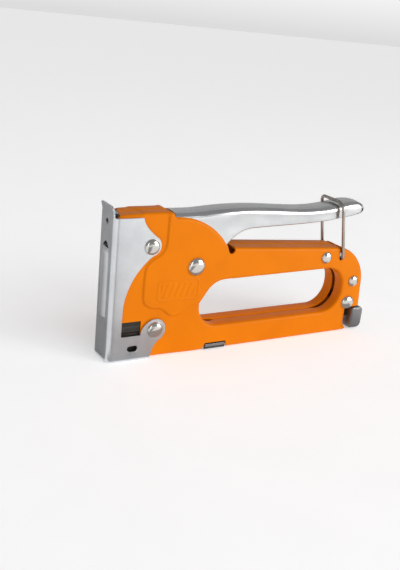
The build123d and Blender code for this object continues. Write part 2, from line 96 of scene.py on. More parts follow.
def smooth(points, step=1.0, start=None, end=None):
    """A Catmull-Rom curve through the points, up to but not including the last one.
    start and end are the directions at its ends."""
    p = [np.array(q, float) for q in points]
    slopes = [(p[min(i + 1, len(p) - 1)] - p[max(i - 1, 0)]) / (2 if 0 < i < len(p) - 1 else 1)
              for i in range(len(p))]
    if start is not None:
        slopes[0] = np.array(start, float) / np.linalg.norm(start) * np.linalg.norm(p[1] - p[0])
    if end is not None:
        slopes[-1] = np.array(end, float) / np.linalg.norm(end) * np.linalg.norm(p[-1] - p[-2])
    out = []
    for i in range(len(p) - 1):
        n = max(2, int(math.ceil(np.linalg.norm(p[i + 1] - p[i]) / step)))
        before = np.linalg.norm(p[i] - p[i - 1]) if i else np.linalg.norm(p[1] - p[0])
        here = np.linalg.norm(p[i + 1] - p[i])
        m0 = slopes[i] if i == 0 else slopes[i] * 2 * here / (here + before)
        after = np.linalg.norm(p[i + 2] - p[i + 1]) if i + 2 < len(p) else here
        m1 = slopes[i + 1] if i + 2 == len(p) else slopes[i + 1] * 2 * here / (here + after)
        for k in range(n):
            t = k / n
            out.append(tuple((2 * t ** 3 - 3 * t * t + 1) * p[i] + (t ** 3 - 2 * t * t + t) * m0
                             + (-2 * t ** 3 + 3 * t * t) * p[i + 1] + (t ** 3 - t * t) * m1))
    return out


def rounded(corners, radii, step=1.0):
    """A closed outline from its corners, each rounded by its own radius."""
    p = [np.array(c, float) for c in corners]
    out = []
    for i, here in enumerate(p):
        into = here - p[i - 1]
        away = p[(i + 1) % len(p)] - here
        into, away = into / np.linalg.norm(into), away / np.linalg.norm(away)
        turn = math.acos(max(-1, min(1, float(into @ away))))
        cut = radii[i] * math.tan(turn / 2)
        a, b = here - into * cut, here + away * cut
        inward = (away - into) / np.linalg.norm(away - into)
        middle = here + inward * (radii[i] / math.cos(turn / 2) - radii[i])
        out += arc(tuple(a), tuple(middle), tuple(b), step)
        nxt = p[(i + 1) % len(p)]
        after = p[(i + 2) % len(p)] - nxt
        after = after / np.linalg.norm(after)
        turn_next = math.acos(max(-1, min(1, float(away @ after))))
        c = nxt - away * radii[(i + 1) % len(p)] * math.tan(turn_next / 2)
        out += line(tuple(b), tuple(c), 2.5)
    return out


def circle(x, z, radius, n=24):
    """n points of a full circle."""
    return [(x + radius * math.cos(2 * math.pi * k / n), z + radius * math.sin(2 * math.pi * k / n))
            for k in range(n)]


# ---- sheets --------------------------------------------------------------------------------------------
EDGE_GAP = 0.05          # free points keep this far from an outline


def distance(points, chains):
    """Distance of each point to the nearest of the chains of points."""
    points = np.asarray(points, float)
    best = np.full(len(points), 1e9)
    for chain in chains:
        chain = np.asarray(chain, float)
        for a, b in zip(chain[:-1], chain[1:]):
            d = b - a
            t = np.clip(((points - a) @ d) / max(d @ d, 1e-12), 0, 1)
            best = np.minimum(best, np.linalg.norm(points - a - t[:, None] * d, axis=1))
    return best


def inside(points, loop):
    """True for each point inside the closed loop."""
    points, loop = np.asarray(points, float), np.asarray(loop, float)
    x, y = points[:, 0], points[:, 1]
    hit = np.zeros(len(points), bool)
    for (x0, y0), (x1, y1) in zip(loop, np.roll(loop, -1, axis=0)):
        if y0 == y1:
            continue
        crosses = ((y0 > y) != (y1 > y)) & (x < (x1 - x0) * (y - y0) / (y1 - y0) + x0)
        hit ^= crosses
    return hit


def beside(chain, offset):
    """The chain moved sideways, to its left for a positive offset."""
    chain = np.asarray(chain, float)
    along = np.gradient(chain, axis=0)
    along /= np.maximum(np.linalg.norm(along, axis=1), 1e-9)[:, None]
    return chain + np.stack([-along[:, 1], along[:, 0]], 1) * offset


def spread(points, closest=0.16, cell=0.22):
    """The points without those that lie closer than closest to an earlier one."""
    keep, taken = [], {}
    for p in points:
        i, j = int(p[0] // cell), int(p[1] // cell)
        around = [(i + di, j + dj) for di in (-1, 0, 1) for dj in (-1, 0, 1)]
        near = [q for key in around for q in taken.get(key, [])]
        if all((p[0] - q[0]) ** 2 + (p[1] - q[1]) ** 2 > closest ** 2 for q in near):
            taken.setdefault((i, j), []).append(p)
            keep.append(p)
    return np.array(keep)


def triangulate(loops, grid, rings=(), dense=()):
    """Triangles that fill the first loop outside the other loops.
    rings is a list of (chain, offsets): points laid beside a feature. dense is a list of
    (low corner, high corner, spacing): finer patches. Returns the points and the triangles."""
    fixed, edges = [], []
    for loop in loops:
        first = len(fixed)
        fixed += [tuple(p) for p in loop]
        edges += [(first + k, first + (k + 1) % len(loop)) for k in range(len(loop))]
    outer = np.asarray(loops[0])
    free = []
    for chain, offsets in rings:
        free += [beside(chain, offset) for offset in offsets]
    for low, high, spacing in dense:
        xs, ys = np.arange(low[0], high[0], spacing), np.arange(low[1], high[1], spacing)
        free.append(np.array([(x + spacing / 2 * (k % 2), y) for k, y in enumerate(ys) for x in xs]))
    (x0, y0), (x1, y1) = outer.min(0), outer.max(0)
    rows = np.arange(y0, y1, grid * 0.87)
    columns = np.arange(x0, x1, grid)
    coarse = np.array([(x + grid / 2 * (k % 2), y) for k, y in enumerate(rows) for x in columns])
    placed = np.concatenate(free) if free else np.zeros((0, 2))
    if len(placed):
        placed = spread(placed)
        apart = []
        for block in np.array_split(coarse, max(1, len(coarse) // 500)):
            gap = np.min(np.linalg.norm(block[:, None] - placed[None], axis=2), axis=1)
            apart.append(gap > grid * 0.45)
        coarse = coarse[np.concatenate(apart)]
    free = np.concatenate([placed, coarse])
    free = free[inside(free, outer)]
    for hole in loops[1:]:
        free = free[~inside(free, hole)]
    closed = [list(loop) + [loop[0]] for loop in loops]
    free = free[distance(free, closed) > EDGE_GAP]
    points = [Vector(p) for p in fixed] + [Vector(p) for p in free]
    made = geometry.delaunay_2d_cdt(points, edges, [], 0, 1e-5, False)
    flat = np.array([tuple(v) for v in made[0]])
    tris = np.array([f for f in made[2] if len(f) == 3])
    centre = flat[tris].mean(axis=1)
    keep = inside(centre, outer)
    for hole in loops[1:]:
        keep &= ~inside(centre, hole)
    return flat, tris[keep]


def index_of(flat, points):
    """The index in flat of each point."""
    out = []
    for p in points:
        gap = np.sum((flat - np.array(p)) ** 2, axis=1)
        out.append(int(np.argmin(gap)))
    return out


def apply_modifiers(obj):
    """Bakes an object's modifiers into its mesh."""
    graph = bpy.context.evaluated_depsgraph_get()
    baked = bpy.data.meshes.new_from_object(obj.evaluated_get(graph))
    obj.modifiers.clear()
    obj.data = baked


def finish_mesh(obj, angle):
    """Smooth shading with sharp edges kept above an angle."""
    obj.data.shade_smooth()
    obj.data.set_sharp_from_angle(angle=math.radians(angle))


def rim_rings(radius):
    """Offsets of the rows that round a pressed edge."""
    return [radius * (1 - math.cos(math.radians(a))) for a in (22, 40, 58, 75, 90)]


def rim_drop(gap, radius):
    """How far the side falls away at a distance from a pressed edge."""
    t = np.clip(radius - gap, 0, radius)
    return radius - np.sqrt(np.maximum(radius ** 2 - t ** 2, 0))


def step(x, low, high):
    """0 below low, 1 above high, smooth between."""
    t = np.clip((np.asarray(x, float) - low) / (high - low), 0, 1)
    return t * t * (3 - 2 * t)


# ---- materials -----------------------------------------------------------------------------------------
def shader(name):
    """A new material with its nodes, its links and its main shader."""
    mat = bpy.data.materials.new(name)
    mat.use_nodes = True
    return mat, mat.node_tree.nodes, mat.node_tree.links, mat.node_tree.nodes["Principled BSDF"]


def noise(nodes, links, scale, detail=4.0, rough=0.55, stretch=(1, 1, 1)):
    """A noise texture in the piece's own coordinates, stretched along the axes."""
    where = nodes.new("ShaderNodeTexCoord")
    mapping = nodes.new("ShaderNodeMapping")
    mapping.inputs["Scale"].default_value = stretch
    links.new(where.outputs["Object"], mapping.inputs["Vector"])
    tex = nodes.new("ShaderNodeTexNoise")
    tex.inputs["Scale"].default_value = scale
    tex.inputs["Detail"].default_value = detail
    tex.inputs["Roughness"].default_value = rough
    links.new(mapping.outputs["Vector"], tex.inputs["Vector"])
    return tex


def ramp(nodes, links, source, stops):
    """A colour ramp over a value. stops is a list of (position, colour)."""
    node = nodes.new("ShaderNodeValToRGB")
    while len(node.color_ramp.elements) > 1:
        node.color_ramp.elements.remove(node.color_ramp.elements[-1])
    node.color_ramp.elements[0].position = stops[0][0]
    node.color_ramp.elements[0].color = stops[0][1]
    for position, colour in stops[1:]:
        node.color_ramp.elements.new(position).color = colour
    links.new(source, node.inputs["Fac"])
    return node


def bump(nodes, links, height, strength, distance_mm, shader_node, before=None):
    """Feeds a height into the shader's normal."""
    node = nodes.new("ShaderNodeBump")
    node.inputs["Strength"].default_value = strength
    node.inputs["Distance"].default_value = distance_mm * MM
    links.new(height, node.inputs["Height"])
    if before is not None:
        links.new(before.outputs["Normal"], node.inputs["Normal"])
    links.new(node.outputs["Normal"], shader_node.inputs["Normal"])
    return node


def grey(value):
    """A grey colour."""
    return (value, value, value, 1.0)


def enamel():
    """Orange stove enamel with a fine orange-peel skin and a faint drift of shade and gloss."""
    mat, nodes, links, bsdf = shader("orange_enamel")
    broad = noise(nodes, links, 45, 3)
    deep, light = (0.68, 0.17, 0.0, 1), (0.74, 0.19, 0.0, 1)
    tone = ramp(nodes, links, broad.outputs["Fac"], [(0.3, deep), (0.7, light)])
    links.new(tone.outputs["Color"], bsdf.inputs["Base Color"])
    cloud = noise(nodes, links, 160, 3)
    rough = ramp(nodes, links, cloud.outputs["Fac"], [(0.3, grey(0.30)), (0.7, grey(0.38))])
    links.new(rough.outputs["Color"], bsdf.inputs["Roughness"])
    peel = noise(nodes, links, 900, 2)
    bump(nodes, links, peel.outputs["Fac"], 0.1, 0.05, bsdf)
    bsdf.inputs["Coat Weight"].default_value = 0.02
    bsdf.inputs["Coat Roughness"].default_value = 0.1
    bsdf.inputs["Specular IOR Level"].default_value = 0.09
    return mat


def metal(name, dark, light, rough, grain, stretch, relief=0.05, spots=0.0):
    """A plated or bare steel: base tone between two shades, a roughness range and a fine grain."""
    mat, nodes, links, bsdf = shader(name)
    bsdf.inputs["Metallic"].default_value = 1.0
    broad = noise(nodes, links, 60, 4)
    tone = ramp(nodes, links, broad.outputs["Fac"], [(0.3, dark), (0.7, light)])
    links.new(tone.outputs["Color"], bsdf.inputs["Base Color"])
    fine = noise(nodes, links, grain, 5, 0.6, stretch)
    worn = ramp(nodes, links, fine.outputs["Fac"], [(0.25, grey(rough[0])), (0.75, grey(rough[1]))])
    links.new(worn.outputs["Color"], bsdf.inputs["Roughness"])
    skin = bump(nodes, links, fine.outputs["Fac"], relief, 0.05, bsdf)
    if spots:
        pits = noise(nodes, links, 1400, 2)
        bump(nodes, links, pits.outputs["Fac"], spots, 0.05, bsdf, skin)
    return mat


def rubber():
    """Plain black rubber with a fine variation of tone."""
    mat, nodes, links, bsdf = shader("black_rubber")
    fine = noise(nodes, links, 700, 4)
    tone = ramp(nodes, links, fine.outputs["Fac"], [(0.3, grey(0.012)), (0.7, grey(0.028))])
    links.new(tone.outputs["Color"], bsdf.inputs["Base Color"])
    bsdf.inputs["Roughness"].default_value = 0.75
    bump(nodes, links, fine.outputs["Fac"], 0.3, 0.1, bsdf)
    return mat


MATS = {
    "orange_enamel": enamel(),
    "nose_steel": metal("nose_steel", (0.66, 0.68, 0.70, 1), (0.78, 0.80, 0.82, 1),
                        (0.30, 0.40), 260, (1, 1, 0.06), 0.1, 0.05),
    "zinc_steel": metal("zinc_steel", (0.42, 0.43, 0.45, 1), (0.55, 0.56, 0.58, 1),
                        (0.3, 0.45), 300, (0.2, 1, 1), 0.1),
    "dark_steel": metal("dark_steel", (0.06, 0.055, 0.05, 1), (0.12, 0.11, 0.10, 1),
                        (0.35, 0.55), 300, (0.3, 1, 1), 0.15),
    "black_rubber": rubber(),
    "polished_rivet": metal("polished_rivet", (0.62, 0.60, 0.56, 1), (0.72, 0.70, 0.66, 1),
                            (0.12, 0.16), 500, (1, 1, 1), 0.03),
    "chrome_lever": metal("chrome_lever", (0.62, 0.63, 0.64, 1), (0.72, 0.73, 0.73, 1),
                          (0.16, 0.22), 220, (0.12, 1, 1), 0.04),
    "spring_wire": metal("spring_wire", (0.22, 0.22, 0.23, 1), (0.32, 0.32, 0.33, 1),
                         (0.3, 0.4), 500, (1, 1, 1)),
    "bail_wire": metal("bail_wire", (0.36, 0.32, 0.29, 1), (0.48, 0.43, 0.39, 1),
                       (0.22, 0.34), 400, (1, 1, 0.3)),
    "catch_steel": metal("catch_steel", (0.23, 0.23, 0.235, 1), (0.29, 0.29, 0.295, 1),
                         (0.42, 0.55), 400, (1, 1, 1), 0.12, 0.1),
    "staple_wire": metal("staple_wire", (0.5, 0.5, 0.52, 1), (0.62, 0.62, 0.64, 1),
                         (0.25, 0.35), 500, (6, 1, 1), 0.3),
}


# ---- pieces --------------------------------------------------------------------------------------------
SHEET_WELD = 0.01        # points of a sheet that are closer than this become one
SOLID_WELD = 0.002
SHEET_CREASE = 38        # degrees between faces above which a sheet's edge stays sharp


def new_piece(name, points, faces, weld, outward=None):
    """An object from drawing points. Points closer than weld become one, and the faces of an open
    sheet are turned to look along outward."""
    mesh = bpy.data.meshes.new(name)
    mesh.from_pydata([tuple(p) for p in place(points)], [], faces)
    bm = bmesh.new()
    bm.from_mesh(mesh)
    bmesh.ops.remove_doubles(bm, verts=bm.verts, dist=weld * MM)
    bmesh.ops.recalc_face_normals(bm, faces=bm.faces)
    if outward and sum(f.normal.dot(outward) * f.calc_area() for f in bm.faces) < 0:
        bmesh.ops.reverse_faces(bm, faces=bm.faces)
    bm.to_mesh(mesh)
    bm.free()
    obj = bpy.data.objects.new(name, mesh)
    bpy.context.scene.collection.objects.link(obj)
    return obj


def enter(obj, body, stands_for, slot):
    """Gives a piece its material and its place in the frame."""
    obj.data.materials.append(MATS[slot])
    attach(obj, body)
    if stands_for:
        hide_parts(*stands_for)


def sheet_piece(name, points, faces, body, stands_for, slot, thickness, outward):
    """A thin pressed sheet, from the points of its outer face."""
    obj = new_piece(name, points, faces, SHEET_WELD, outward)
    solid = obj.modifiers.new("sheet", "SOLIDIFY")
    solid.thickness = thickness * MM
    solid.offset = -1
    solid.use_even_offset = True
    apply_modifiers(obj)
    finish_mesh(obj, SHEET_CREASE)
    enter(obj, body, stands_for, slot)


def solid_piece(name, points, faces, body, stands_for, slot, angle):
    """A closed piece, smooth up to an angle between its faces."""
    obj = new_piece(name, points, faces, SOLID_WELD)
    finish_mesh(obj, angle)
    enter(obj, body, stands_for, slot)


# ---- body shells ---------------------------------------------------------------------------------------
RIM = 1.7                # rounding of the body's pressed edges
SHEET = 1.1              # body sheet thickness
SEAM = 0.25              # half gap between the two shells

SHOULDER = (153.1, 33.0)
SHOULDER_R = 25.0
EAR = [(36.9, 82.1), (60.6, 75.1), (71.0, 64.9)]
BAR_FRONT = (77.0, 62.6)
BAR_REAR = (SHOULDER[0], SHOULDER[1] + SHOULDER_R)
SLOT_X = BAIL_PIVOT[0] - 0.5
SLOT_HALF = 1.7
SLOT_FLOOR = BAIL_PIVOT[1] + 0.3
HEEL_X = 170.4           # end of the lower bar, in the thumb recess
DIMPLE = 3.6             # depth of that recess


def shoulder_z(x):
    """Height of the shoulder's arc above x."""
    return SHOULDER[1] + math.sqrt(SHOULDER_R ** 2 - (x - SHOULDER[0]) ** 2)


def body_segments():
    """The shell's outline as (kind, points) in order. flange edges turn in to the middle plane,
    rim edges are only rounded and cut edges show the sheet."""
    slot_front, slot_rear = SLOT_X - SLOT_HALF, SLOT_X + SLOT_HALF
    front_top = (slot_front, shoulder_z(slot_front))
    rear_top = (slot_rear, shoulder_z(slot_rear))
    middle = (170.2, 50.9)
    post = (SHOULDER[0] + SHOULDER_R, SHOULDER[1])
    heel = (179.2, 17.0)
    return [
        ("cut", line((2.4, 23.2), (2.4, CAP_TOP))),
        ("flange", line((2.4, CAP_TOP), (33.6, CAP_TOP), 0.8)
         + arc((33.6, CAP_TOP), (35.4, 84.3), (36.2, 82.7), 0.5)),
        ("rim", line((36.2, 82.7), EAR[0], 0.5) + arc(*EAR)),
        ("cut", line(EAR[2], (72.6, 60.6), 0.8) + arc((72.6, 60.6), (74.9, 59.2), (76.9, 60.9), 0.5)
         + line((76.9, 60.9), BAR_FRONT, 0.6)),
        ("flange", line(BAR_FRONT, BAR_REAR) + arc(BAR_REAR, ((BAR_REAR[0] + slot_front) / 2,
         shoulder_z((BAR_REAR[0] + slot_front) / 2)), front_top)),
        ("cut", line(front_top, (slot_front, SLOT_FLOOR), 0.8)
         + arc((slot_front, SLOT_FLOOR), (SLOT_X, SLOT_FLOOR - SLOT_HALF), (slot_rear, SLOT_FLOOR), 0.4)
         + line((slot_rear, SLOT_FLOOR), rear_top, 0.8)),
        ("flange", arc(rear_top, middle, post) + line(post, heel)),
        ("cut", line(heel, (HEEL_X, 16.4), 0.8) + line((HEEL_X, 16.4), (HEEL_X, BASE), 0.8)),
        ("rim", line((HEEL_X, BASE), (78.2, BASE))),
        ("cut", line((78.2, BASE), (76.8, 4.5), 0.6) + line((76.8, 4.5), (62.6, 4.5))
         + line((62.6, 4.5), (60.8, BASE), 0.6)),
        ("rim", line((60.8, BASE), (20.0, BASE))),
        ("cut", line((20.0, BASE), (20.0, 23.2)) + line((20.0, 23.2), (2.4, 23.2))),
    ]


def grip_loop():
    """The grip opening's outline."""
    front, rear, floor, roof = 56.8, 161.9, 15.2, 44.3
    corners = [(rear, roof + 0.4), (rear, floor), (front, floor), (front, 30.2), (65.5, roof - 1.0)]
    return rounded(corners, [13.2, 14.0, 13.0, 4.0, 13.6])


def seat_edge():
    """The pressed step between the raised panel and the seat of the nose cheek, top to bottom.
    It fades out along the lower bar."""
    return (line((32.4, 87.0), (32.4, 71.0)) + smooth([(32.4, 71.0), (31.8, 65.4), (29.0, 61.3), (24.2, 58.5),
            (21.2, 55.4), (20.2, 51.0), (20.0, 38.5), (21.0, 33.6), (25.2, 30.6), (31.0, 29.6), (34.4, 27.4),
            (37.6, 24.9), (41.6, 24.2), (45.0, 25.6), (47.8, 28.2), (51.4, 29.8), (56.8, 30.1), (62.0, 30.1)],
            0.8, (0, -1), (1, 0)))


def panel_side(points):
    """True on the raised side of the step."""
    raised = seat_edge() + [(62.0, 30.1), (200.0, 30.1), (200.0, 120.0), (32.4, 120.0)]
    return inside(points, raised)


BADGE_LOW, BADGE_HIGH = (28.0, 33.4), (55.0, 47.0)


def badge_relief(points):
    """A plain pressed badge: a rounded frame around five slanted bars."""
    mid = (np.array(BADGE_LOW) + np.array(BADGE_HIGH)) / 2
    half = (np.array(BADGE_HIGH) - np.array(BADGE_LOW)) / 2
    local = points - mid

    def box_gap(size, corner):
        """Distance to a rounded box around the badge's middle, less than 0 inside it."""
        q = np.abs(local) - (size - corner)
        return np.linalg.norm(np.maximum(q, 0), axis=1) + np.minimum(np.max(q, axis=1), 0) - corner

    frame_line = np.exp(-(np.abs(box_gap(half - 0.7, 2.4)) / 0.42) ** 2)
    within = step(-box_gap(half - 2.6, 1.2), 0.0, 0.5)
    slanted = local[:, 0] - 0.35 * local[:, 1]
    phase = np.abs((slanted / 3.7 + 0.5) % 1 - 0.5) * 3.7
    bars = step(1.15 - phase, 0, 0.5) * within
    return 0.28 * frame_line + 0.26 * bars


def shell_half_width(points, bent, seat):
    """Half width of the body over each side-view point."""
    points = np.asarray(points, float)
    half = np.full(len(points), BODY_HALF)
    half -= rim_drop(distance(points, bent), RIM)
    signed = np.where(panel_side(points), 1, -1) * distance(points, [seat])
    fade = 1 - step(points[:, 0], 44.0, 58.0) * step(30.5 - points[:, 1], 0, 1.5)
    fade *= 1 - step(points[:, 0], 30.0, 58.0) * step(24.0 - points[:, 1], 0, 10.0)
    half -= SEAT_DROP * (1 - step(signed, -0.7, 0.6)) * np.clip(fade, 0, 1)
    half += badge_relief(points)
    x, z = points[:, 0], points[:, 1]
    half -= DIMPLE * step(x, 165.2, 169.2) * step(z, 0.6, 4.0) * step(16.6 - z, 0, 3.0)
    return half


def grip_gap(points):
    """Half gap between the shells around the grip opening: it opens round the rear, and in one small tear
    at the front of the floor."""
    x, z = points[:, 0], points[:, 1]
    rear = step(x, 143.0, 152.0) * (1 - step(z, 41.0, 45.5))
    tear = step(x, 63.0, 66.0) * (1 - step(x, 69.5, 71.5)) * (1 - step(z, 20.0, 22.0))
    return SEAM + 1.1 * rear + 1.1 * tear


def shell(side):
    """One pressed half of the body. side is -1 for the near half and +1 for the far one."""
    segments = body_segments()
    outer = [p for _, points in segments for p in points]
    grip = grip_loop()
    seat = seat_edge()
    chains = []
    for k, (kind, points) in enumerate(segments):
        following = segments[(k + 1) % len(segments)][1][0]
        chains.append((kind, points + [following]))
    grip_chain = grip + [grip[0]]
    bent = [c for kind, c in chains if kind != "cut"] + [grip_chain]
    rings = [(c, [-d for d in rim_rings(RIM)]) for kind, c in chains if kind != "cut"]
    rings += [(grip_chain, rim_rings(RIM))]
    rings += [(seat, (-1.3, -0.9, -0.55, -0.2, 0.15, 0.5, 0.9))]
    patches = [(np.array(BADGE_LOW) - 0.5, np.array(BADGE_HIGH) + 0.5, 0.3), ((164, BASE), (HEEL_X, 17), 0.7)]
    flat, tris = triangulate([outer, grip], 2.2, rings, patches)
    half = shell_half_width(flat, bent, seat)
    points = [(x, side * h, z) for (x, z), h in zip(flat, half)]
    faces = [tuple(t) for t in tris]

    def flange(chain, ends, into):
        """Turns a chain of the wall in to the middle plane. into is the side of the chain with the sheet."""
        ids = index_of(flat, chain)
        rows = [ids]
        sunk = beside(chain, 0.55 * into)
        for inset, drop in ((4.5, 0), (1.2, 0), (0.45, 0.3), (0.0, 1.0)):
            row = []
            for (x, z), (low_x, low_z), i, end in zip(chain, sunk, ids, ends):
                y = min(half[i], end + inset)
                row.append(len(points))
                points.append((x + (low_x - x) * drop, side * y, z + (low_z - z) * drop))
            rows.append(row)
        for a, b in zip(rows[:-1], rows[1:]):
            for k in range(len(a) - 1):
                faces.append((a[k], a[k + 1], b[k + 1], b[k]))

    for kind, chain in chains:
        if kind == "flange":
            flange(chain, [SEAM] * len(chain), -1)
    flange(grip_chain, grip_gap(np.array(grip_chain)), 1)
    return points, faces


def cap_front(points):
    """The front of the cap dips towards the nose, and its front edge runs slightly across."""
    out = []
    for x, y, z in points:
        if z > 80 and x < 30:
            lift = (z - 80) / (CAP_TOP - 80)
            x = max(x, 3.8 + 0.28 * (y + 8.0)) if z > 83.1 else x
            z -= 1.0 * lift * max(0.0, (15 - x) / 13) ** 2
            z -= 0.4 * lift * float(step(18.5 - 0.03 * (y + 3) ** 2 - x, 0.0, 1.5)) * (abs(y) < 8.6)
        out.append((x, y, z))
    return out


def build_shells():
    """Both pressed halves of the body, near and far."""
    for name, side in (("left_shell", -1), ("right_shell", 1)):
        points, faces = shell(side)
        points = cap_front(points)
        mesh_faces = faces if side > 0 else [f[::-1] for f in faces]
        sheet_piece(name + "_pressed", points, mesh_faces, "frame", [name], "orange_enamel",
                    SHEET, (0, side, 0))


# ---- nose plate ----------------------------------------------------------------------------------------
FLAT = 7.0               # half width of the nose's front wall between its bends
BEND = 3.0               # outside radius of those bends
TONGUE_LEAN = 1.0
RIB_HALF = 4.7
RIB_RISE = 1.25
RIB_ENDS = (24.6, 64.9)
LANCE = (15.2, 7.3)


def unroll(x):
    """Sideways place on the flattened nose plate of a point of the cheek at x."""
    return FLAT + BEND * math.pi / 2 + x - BEND


def nose_outline():
    """The flattened nose plate: a tongue on top and a cheek with two rivet lobes on either side."""
    tongue = (line((0.0, 89.0), (6.4, 89.0)) + arc((6.4, 89.0), (7.9, 88.4), (8.5, 87.0), 0.4)
              + line((8.5, 87.0), (8.5, 84.6)) + arc((8.5, 84.6), (8.95, 83.5), (10.0, 83.05), 0.4))
    cheek = (smooth([(17.0, 83.0), (17.9, 80.2), (20.2, 77.0), (22.8, 74.4), (25.6, 72.0)],
                    0.7, (0.25, -1), (1, -0.8))
             + arc((25.6, 72.0), (28.6, 66.3), (24.6, 61.3), 0.7)
             + smooth([(24.6, 61.3), (19.6, 57.2), (14.2, 50.4), (10.8, 43.6), (9.0, 38.0), (8.2, 33.0),
                       (8.0, 28.0)], 1.0, (-1, -0.45), (0, -1))
             + line((8.0, 28.0), (8.0, 15.0)) + line((8.0, 15.0), (19.8, 15.0))
             + smooth([(19.8, 15.0), (21.2, 19.4), (25.4, 23.2)], 0.7, (0.1, 1), (1, 0.45))
             + arc((25.4, 23.2), (35.3, 18.0), (31.4, 10.8), 0.7)
             + smooth([(31.4, 10.8), (28.6, 7.4), (27.2, 3.6), (26.4, 0.4)], 0.7, (-1, -0.8), (-0.25, -1))
             + line((26.4, 0.4), (26.0, 0.0), 0.5) + line((26.0, 0.0), (3.0, 0.0)))
    half = tongue + line((10.0, 83.05), (unroll(17.0), 83.0)) + [(unroll(x), z) for x, z in cheek]
    half += line((unroll(3.0), 0.0), (0.0, 0.0))
    return half + [(0.0, 0.0)] + [(-s, z) for s, z in half[:0:-1]]


def louvre_mouth():
    """The pointed opening above the rib."""
    return (line((-3.9, 65.2), (3.9, 65.2), 0.5) + arc((3.9, 65.2), (2.5, 67.2), (0.0, 68.6), 0.4)
            + arc((0.0, 68.6), (-2.5, 67.2), (-3.9, 65.2), 0.4))


def lance_slot(side):
    """The slot lanced through a cheek near its foot."""
    x, z = LANCE
    corners = [(x + 3.1, z + 1.6), (x + 3.1, z - 1.6), (x - 3.1, z - 1.6), (x - 3.1, z + 1.6)]
    return [(side * unroll(px), pz) for px, pz in rounded(corners, [1.5] * 4, 0.4)]


def nose_point(s, z, push):
    """A point of the bent plate, pushed out of its surface."""
    a = abs(s)
    sign = 1.0 if s > 0 else -1.0
    bend_end = FLAT + BEND * math.pi / 2
    if a <= FLAT:
        spot, normal = (0.0, a), (-1.0, 0.0)
    elif a <= bend_end:
        turn = (a - FLAT) / BEND
        spot = (BEND - BEND * math.cos(turn), FLAT + BEND * math.sin(turn))
        normal = (-math.cos(turn), math.sin(turn))
    else:
        spot, normal = (BEND + a - bend_end, FLAT + BEND), (0.0, 1.0)
    x, y = spot[0] + normal[0] * push, spot[1] + normal[1] * push
    tip = max(0.0, (z - 85.2) / 3.8)
    return x - TONGUE_LEAN * tip, sign * y, z - 0.28 * tip


def nose_push(flat, edges):
    """Height of the plate's relief: the rib, soft cut edges and the turned-out lip of the lanced slots."""
    s, z = flat[:, 0], flat[:, 1]
    across = np.clip(1 - (np.abs(s) / RIB_HALF) ** 1.6, 0, 1) ** 1.1
    along = step(z, RIB_ENDS[0], RIB_ENDS[0] + 1.3) * (1 - step(z, RIB_ENDS[1] - 0.6, RIB_ENDS[1] + 0.3))
    push = RIB_RISE * across * along
    push -= rim_drop(distance(flat, edges), 0.2) * (np.abs(s) > FLAT)
    for side in (-1, 1):
        near = np.exp(-((s - side * unroll(LANCE[0])) / 2.6) ** 4 - ((z - LANCE[1] + 2.1) / 0.9) ** 2)
        push += 0.55 * near
    return push


def build_nose():
    """The bent plate around the front, with its rib, its louvre and its slots."""
    outer = nose_outline()
    holes = [louvre_mouth(), circle(0.0, 79.3, 1.75, 20), lance_slot(1), lance_slot(-1)]
    rim = outer + [outer[0]]
    edges = [rim] + [hole + [hole[0]] for hole in holes[2:]]
    offsets = (0.06, 0.2, 0.55)
    rings = [(chain, offsets + tuple(-d for d in offsets)) for chain in edges]
    for k in range(11):
        s = FLAT + BEND * math.pi / 2 * k / 10
        rings += [(line((side * s, 0.3), (side * s, 88.7), 2.0), (0.0,)) for side in (-1, 1)]
    for s in np.linspace(-RIB_HALF, RIB_HALF, 17):
        rings.append((line((s, RIB_ENDS[0] - 0.6), (s, RIB_ENDS[0] + 1.6), 0.22)
                      + line((s, RIB_ENDS[0] + 1.6), (s, 64.2), 1.5), (0.0,)))
    patches = [((unroll(11.4), 4.2), (unroll(19), 7), 0.4), ((-unroll(19), 4.2), (-unroll(11.4), 7), 0.4)]
    flat, tris = triangulate([outer] + holes, 2.4, rings, patches)
    push = nose_push(flat, edges)
    points = [nose_point(s, z, h) for (s, z), h in zip(flat, push)]
    sheet_piece("nose_plate_pressed", points, [tuple(t) for t in tris], "frame", ["nose_plate"], "nose_steel",
                NOSE_SHEET, (-1, 0, 0))


# ---- lever ---------------------------------------------------------------------------------------------
LEVER_HALF = 8.3
LEVER_SHEET = 1.1
LEVER_EDGE = 3.0         # rounding between its sides and top
TAIL_START = 164.5       # where its straight sides end
TAIL_END = 173.4
LEVER_TOP = [(36.9, 83.9), (45.0, 83.8), (53.0, 83.9), (61.0, 84.5), (70.0, 85.1), (80.0, 85.4), (90.0, 85.3),
             (100.0, 84.8), (112.0, 84.0), (126.0, 83.3), (136.0, 83.4), (143.0, 84.0), (149.0, 84.8),
             (155.0, 85.8), (160.0, 86.6)]
SHELF = [(66, 76), (72, 79.5), (78, 81.3), (84, 81.7), (92, 80.9), (100, 80.2), (130, 79.6), (150, 80.6),
         (160, 82.0)]    # upper edge of the lever's sunk band


def tail_path():
    """Plan points of the rounded tail with their distances along it: an ellipse quarter from side to end."""
    turn = np.linspace(0, math.pi / 2, 25)
    x = TAIL_START + (TAIL_END - TAIL_START) * np.sin(turn) ** 0.8
    y = LEVER_HALF * np.cos(turn) ** 0.6
    run = np.concatenate([[0], np.cumsum(np.hypot(np.diff(x), np.diff(y)))])
    return x, y, run


TAIL_X, TAIL_Y, TAIL_RUN = tail_path()
LEVER_END = TAIL_START + TAIL_RUN[-1]


